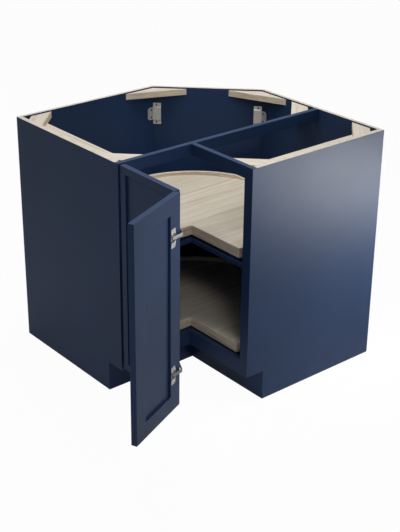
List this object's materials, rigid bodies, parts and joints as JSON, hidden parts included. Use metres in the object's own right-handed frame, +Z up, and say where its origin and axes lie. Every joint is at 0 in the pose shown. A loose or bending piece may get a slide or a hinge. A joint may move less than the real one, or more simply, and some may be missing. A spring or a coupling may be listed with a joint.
{
  "type": "corner carousel cabinet",
  "caption": "L-shaped corner base cabinet with an open top, a bi-fold framed door and pie-cut wooden trays that turn on swivel bearings.",
  "frame": {"origin": "the inner corner of the toe kick, on the floor", "axes": "+Z up; +X towards the right-hand kitchen wall, +Y towards the left-hand kitchen wall; the two arms reach to -X and -Y"},
  "size_m": [1.1695, 1.0237, 0.8763],
  "materials": {
    "navy_paint": "satin navy paint on boards",
    "bracing_wood": "pale unpainted plywood",
    "tray_wood": "pale wood with a fine straight grain, matt",
    "zinc_steel": "dull zinc plate",
    "hinge_nickel": "nickel plate"
  },
  "bodies": {
    "cabinet": {"left_end_panel": "navy_paint", "right_end_panel": "navy_paint", "left_back_panel": "navy_paint", "diagonal_back_panel": "navy_paint", "right_back_panel": "navy_paint", "left_stile": "navy_paint", "right_stile": "navy_paint", "long_top_rail": "navy_paint", "right_top_rail": "navy_paint", "left_bottom_rail": "navy_paint", "right_bottom_rail": "navy_paint", "left_toe_board": "navy_paint", "right_toe_board": "navy_paint", "bottom_panel": "navy_paint", "middle_shelf": "navy_paint", "support_cleats": "bracing_wood", "left_top_cleat": "bracing_wood", "right_top_cleat": "bracing_wood", "left_front_gusset": "bracing_wood", "left_rear_gusset": "bracing_wood", "rear_left_gusset": "bracing_wood", "rear_right_gusset": "bracing_wood", "rail_end_gusset": "bracing_wood", "right_rear_gusset": "bracing_wood", "right_front_gusset": "bracing_wood", "left_corner_bracket": "zinc_steel", "right_corner_bracket": "zinc_steel", "bracket_screws": "zinc_steel", "frame_hinge_plates": "hinge_nickel", "frame_plate_screws": "hinge_nickel", "upper_bearing_base": "zinc_steel", "lower_bearing_base": "zinc_steel", "bearing_balls": "zinc_steel", "bearing_screws": "zinc_steel"},
    "door_one": {"door_one_hinge_stile": "navy_paint", "door_one_joint_stile": "navy_paint", "door_one_top_rail": "navy_paint", "door_one_bottom_rail": "navy_paint", "door_one_panel": "navy_paint", "frame_hinge_cups": "hinge_nickel", "fold_hinge_plates": "hinge_nickel", "door_one_screws": "hinge_nickel"},
    "fold_arms": {"fold_hinge_arms": "hinge_nickel"},
    "door_two": {"door_two_joint_stile": "navy_paint", "door_two_free_stile": "navy_paint", "door_two_top_rail": "navy_paint", "door_two_bottom_rail": "navy_paint", "door_two_panel": "navy_paint", "fold_hinge_cups": "hinge_nickel", "door_two_screws": "hinge_nickel"},
    "upper_tray": {"upper_tray_board": "tray_wood", "upper_tray_rim": "tray_wood", "upper_tray_edge_bands": "tray_wood", "upper_tray_block": "tray_wood", "upper_bearing_ring": "zinc_steel"},
    "lower_tray": {"lower_tray_board": "tray_wood", "lower_tray_rim": "tray_wood", "lower_tray_edge_bands": "tray_wood", "lower_tray_block": "tray_wood", "lower_bearing_ring": "zinc_steel"}
  },
  "joints": [
    {"name": "door_swing", "type": "hinge", "parent": "cabinet", "child": "door_one", "pos_m": [-0.3695, -0.0927, 0.499], "axis": [0, 0, 1], "range_deg": [-75, 90.7]},
    {"name": "door_half_fold", "type": "hinge", "parent": "door_one", "child": "fold_arms", "pos_m": [-0.38039, -0.36179, 0.499], "axis": [0, 0, 1], "range_deg": [-11.97, 9.9]},
    {"name": "door_fold", "type": "hinge", "parent": "door_one", "child": "door_two", "pos_m": [-0.38039, -0.36179, 0.499], "axis": [0, 0, 1], "range_deg": [-23.92, 19.78]},
    {"name": "upper_tray_turn", "type": "hinge", "parent": "cabinet", "child": "upper_tray", "pos_m": [0.042, 0.042, 0.524], "axis": [0, 0, 1], "range_deg": [-360, 360]},
    {"name": "lower_tray_turn", "type": "hinge", "parent": "cabinet", "child": "lower_tray", "pos_m": [0.042, 0.042, 0.163], "axis": [0, 0, 1], "range_deg": [-360, 360]}
  ],
  "couplings": [
    {"joint": "door_half_fold", "follows": "door_swing", "ratio": -0.13175},
    {"joint": "door_fold", "follows": "door_swing", "ratio": -0.26351}
  ]
}
